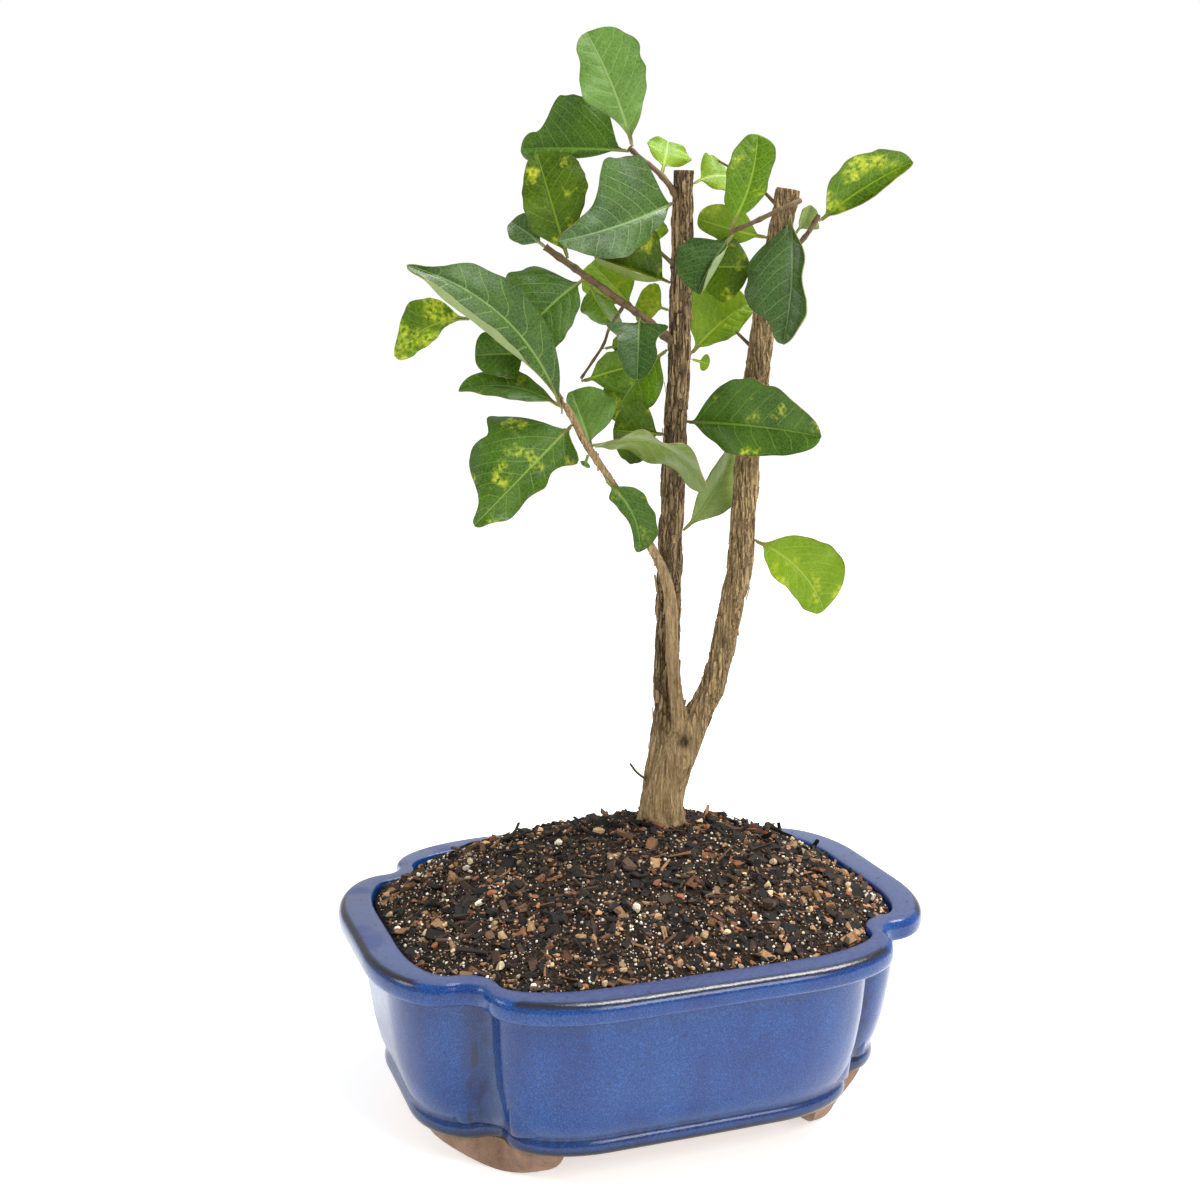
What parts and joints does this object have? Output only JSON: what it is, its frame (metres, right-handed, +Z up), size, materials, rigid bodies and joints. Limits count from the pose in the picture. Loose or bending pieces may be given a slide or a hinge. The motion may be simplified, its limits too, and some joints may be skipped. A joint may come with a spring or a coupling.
{
  "type": "potted bonsai tree",
  "caption": "Small live bonsai tree with two cut stems and variegated leaves, in a lobed glazed pot on low clay feet.",
  "frame": {"origin": "on the ground under the middle of the pot", "axes": "+X along the pot's length, towards the side that the right stem leans to; +Y across the pot towards its back; +Z up"},
  "size_m": [0.2, 0.164, 0.3688],
  "materials": {
    "glaze": "glossy mottled blue glaze",
    "foot_clay": "matt unglazed clay",
    "soil": "matt, loose, slightly damp",
    "pebble": "matt",
    "bark": "matt, fissured",
    "cut_wood": "matt sawn end",
    "leaf": "satin leaf with pale veins and yellow blotches",
    "screen_plastic": "matt"
  },
  "bodies": {
    "root": {"pot": "glaze", "soil": "soil", "drain_screen_1": "screen_plastic", "drain_screen_2": "screen_plastic", "trunk": "bark", "side_branch": "bark", "top_branch": "bark", "crossing_branch": "bark", "right_twig": "bark", "far_twig": "bark", "short_twig": "bark", "hanging_twig": "bark", "dead_twig_top": "bark", "dead_twig_right": "bark", "dead_twig_foot": "bark", "leaf_01": "leaf", "leaf_02": "leaf", "leaf_03": "leaf", "leaf_04": "leaf", "leaf_05": "leaf", "leaf_06": "leaf", "leaf_07": "leaf", "leaf_08": "leaf", "leaf_09": "leaf", "leaf_10": "leaf", "leaf_11": "leaf", "leaf_12": "leaf", "leaf_13": "leaf", "leaf_14": "leaf", "leaf_15": "leaf", "leaf_16": "leaf", "leaf_17": "leaf", "leaf_18": "leaf", "leaf_19": "leaf", "leaf_20": "leaf", "leaf_21": "leaf", "leaf_22": "leaf", "leaf_23": "leaf", "leaf_24": "leaf", "leaf_25": "leaf", "leaf_26": "leaf", "leaf_27": "leaf", "leaf_28": "leaf", "leaf_29": "leaf", "leaf_30": "leaf", "leaf_31": "leaf", "leaf_32": "leaf", "leaf_33": "leaf", "leaf_34": "leaf", "leaf_35": "leaf", "leaf_36": "leaf", "leaf_37": "leaf", "leaf_38": "leaf", "leaf_39": "leaf"}
  },
  "joints": []
}
